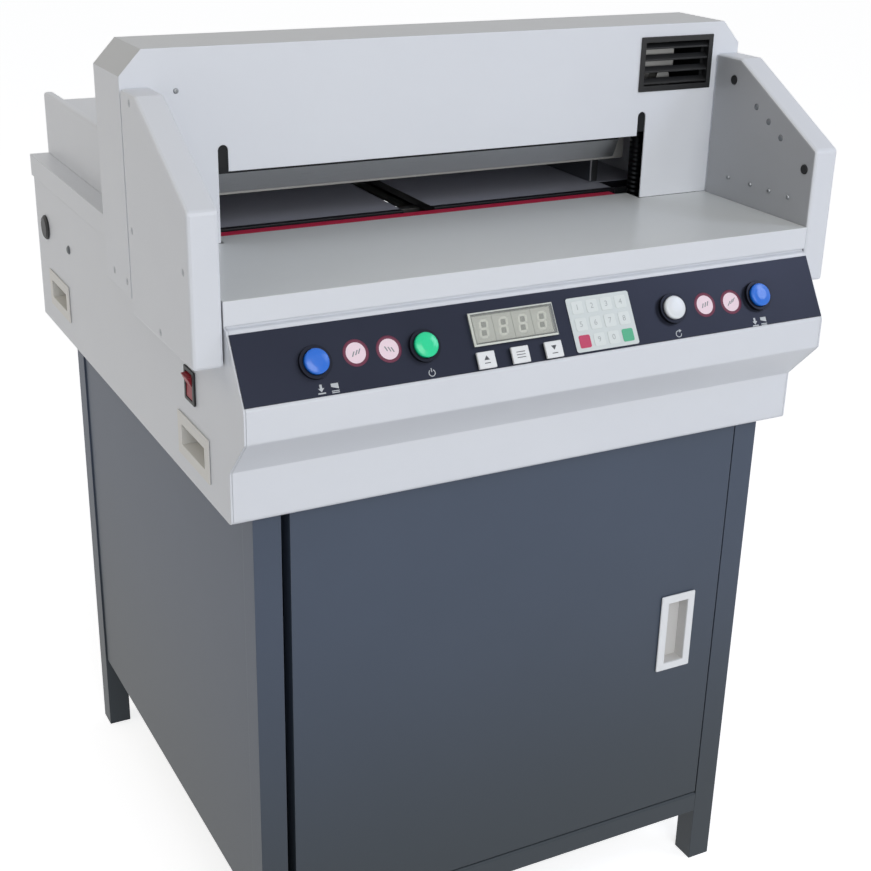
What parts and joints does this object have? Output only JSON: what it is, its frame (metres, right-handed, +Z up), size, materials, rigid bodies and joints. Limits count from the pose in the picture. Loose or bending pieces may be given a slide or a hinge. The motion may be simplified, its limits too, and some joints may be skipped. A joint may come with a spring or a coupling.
{
  "type": "electric paper cutter",
  "caption": "Floor-standing electric paper cutter: cabinet stand with door, control console, slanting knife, clamp and back gauge under a sheet hood with side guards.",
  "frame": {"origin": "centre of the bounding box at floor level", "axes": "+Z up, -Y towards the person at the machine, +X to that person's right"},
  "size_m": [0.68, 0.7111, 0.9605],
  "materials": {
    "white_enamel": "satin powder coat, off-white",
    "slate_enamel": "satin powder coat, slate grey",
    "grey_table_enamel": "smooth satin enamel, light grey",
    "navy_front_film": "polyester film over a plate, very dark blue",
    "black_plastic": "fine-grained moulded plastic, black",
    "white_plastic": "moulded plastic, white",
    "cream_plastic": "moulded plastic, cream",
    "blue_button": "glossy translucent plastic, blue",
    "green_button": "glossy translucent plastic, green",
    "red_plastic": "glossy plastic, red",
    "pale_button": "glossy plastic, white",
    "clear_cover": "clear acrylic cover",
    "red_stick": "extruded plastic, dark red",
    "ground_steel": "ground and brushed",
    "dark_steel": "oiled dark steel plate",
    "machined_steel": "machined",
    "cast_aluminium": "die-cast"
  },
  "bodies": {
    "stand": {"post_front_left": "slate_enamel", "post_front_right": "slate_enamel", "post_rear_left": "slate_enamel", "post_rear_right": "slate_enamel", "side_panel_left": "slate_enamel", "side_panel_right": "slate_enamel", "back_panel": "slate_enamel", "floor_pan": "slate_enamel", "door_pin_upper": "machined_steel", "door_pin_lower": "machined_steel", "gauge_rails": "machined_steel", "base_tray": "white_enamel", "side_wall_left": "white_enamel", "side_wall_right": "white_enamel", "front_skin": "white_enamel", "hood": "white_enamel", "rear_cover": "white_enamel", "cheek_left": "white_enamel", "cheek_right": "white_enamel", "grip_left_front": "cream_plastic", "grip_left_rear": "cream_plastic", "grip_right_front": "cream_plastic", "grip_right_rear": "cream_plastic", "side_plug": "black_plastic", "rocker_frame": "black_plastic", "hood_louvre": "black_plastic", "sensors_left": "black_plastic", "sensors_right": "black_plastic", "control_panel": "navy_front_film", "display_window": "clear_cover", "work_table": "grey_table_enamel", "rear_table": "grey_table_enamel", "cutting_stick": "red_stick", "side_guide": "ground_steel", "side_frame_left": "dark_steel", "side_frame_right": "dark_steel", "cross_beam": "dark_steel", "gauge_motor": "dark_steel", "knife_gearmotor": "cast_aluminium", "clamp_gearmotor": "cast_aluminium"},
    "door": {"door": "slate_enamel", "door_handle": "white_plastic"},
    "button_blue_left": {"button_blue_left": "blue_button"},
    "button_green": {"button_green": "green_button"},
    "button_white": {"button_white": "pale_button"},
    "button_blue_right": {"button_blue_right": "blue_button"},
    "key_down": {"key_down": "white_plastic"},
    "key_middle": {"key_middle": "white_plastic"},
    "key_up": {"key_up": "white_plastic"},
    "rocker": {"rocker": "red_plastic"},
    "knife": {"knife_carrier": "machined_steel", "knife_blade": "ground_steel"},
    "knife_nut": {"knife_nut": "machined_steel"},
    "knife_spindle": {"knife_spindle": "machined_steel"},
    "clamp": {"clamp_beam": "machined_steel", "clamp_yoke": "machined_steel"},
    "clamp_screw": {"clamp_screw": "machined_steel"},
    "gauge": {"back_gauge": "ground_steel", "gauge_carriage": "cast_aluminium"},
    "gauge_screw": {"gauge_screw": "machined_steel"}
  },
  "joints": [
    {"name": "door_hinge", "type": "hinge", "parent": "stand", "child": "door", "pos_m": [-0.243, -0.28978, 0.33], "axis": [0, 0, -1], "range_deg": [0, 105]},
    {"name": "button_blue_left_press", "type": "slide", "parent": "stand", "child": "button_blue_left", "axis": [0, 0.8536, -0.5209], "range_m": [0, 0.003], "stiffness_N_per_m": 400, "springref_m": -0.004},
    {"name": "button_green_press", "type": "slide", "parent": "stand", "child": "button_green", "axis": [0, 0.8536, -0.5209], "range_m": [0, 0.003], "stiffness_N_per_m": 400, "springref_m": -0.004},
    {"name": "button_white_press", "type": "slide", "parent": "stand", "child": "button_white", "axis": [0, 0.8536, -0.5209], "range_m": [0, 0.003], "stiffness_N_per_m": 400, "springref_m": -0.004},
    {"name": "button_blue_right_press", "type": "slide", "parent": "stand", "child": "button_blue_right", "axis": [0, 0.8536, -0.5209], "range_m": [0, 0.003], "stiffness_N_per_m": 400, "springref_m": -0.004},
    {"name": "key_down_press", "type": "slide", "parent": "stand", "child": "key_down", "axis": [0, 0.8536, -0.5209], "range_m": [0, 0.0012], "stiffness_N_per_m": 400, "springref_m": -0.002},
    {"name": "key_middle_press", "type": "slide", "parent": "stand", "child": "key_middle", "axis": [0, 0.8536, -0.5209], "range_m": [0, 0.0012], "stiffness_N_per_m": 400, "springref_m": -0.002},
    {"name": "key_up_press", "type": "slide", "parent": "stand", "child": "key_up", "axis": [0, 0.8536, -0.5209], "range_m": [0, 0.0012], "stiffness_N_per_m": 400, "springref_m": -0.002},
    {"name": "rocker_tilt", "type": "hinge", "parent": "stand", "child": "rocker", "pos_m": [-0.3095, -0.21668, 0.671], "axis": [0, 1, 0], "range_deg": [0, 24]},
    {"name": "knife_slide", "type": "slide", "parent": "stand", "child": "knife", "axis": [0.5, 0, -0.866], "range_m": [0, 0.04665]},
    {"name": "knife_nut_slide", "type": "slide", "parent": "stand", "child": "knife_nut", "axis": [0, 0, -1], "range_m": [0, 0.0405]},
    {"name": "knife_spindle_turn", "type": "hinge", "parent": "stand", "child": "knife_spindle", "pos_m": [0.25, -0.09608, 0.8], "axis": [0, 0, 1], "range_deg": [0, 1460]},
    {"name": "clamp_slide", "type": "slide", "parent": "stand", "child": "clamp", "axis": [0, 0, -1], "range_m": [0, 0.0377]},
    {"name": "clamp_screw_turn", "type": "hinge", "parent": "stand", "child": "clamp_screw", "pos_m": [-0.06, -0.07748, 0.69], "axis": [0, 0, 1], "range_deg": [0, 1360]},
    {"name": "gauge_slide", "type": "slide", "parent": "stand", "child": "gauge", "axis": [0, -1, 0], "range_m": [0, 0.295]},
    {"name": "gauge_screw_turn", "type": "hinge", "parent": "stand", "child": "gauge_screw", "pos_m": [-0.018, 0.1, 0.746], "axis": [0, 1, 0], "range_deg": [0, 5320]}
  ],
  "couplings": [
    {"joint": "knife_nut_slide", "follows": "knife_slide", "ratio": 0.86603},
    {"joint": "knife_spindle_turn", "follows": "knife_slide", "rad_per_m": 544.14},
    {"joint": "clamp_screw_turn", "follows": "clamp_slide", "rad_per_m": 628.32},
    {"joint": "gauge_screw_turn", "follows": "gauge_slide", "rad_per_m": 314.16}
  ]
}
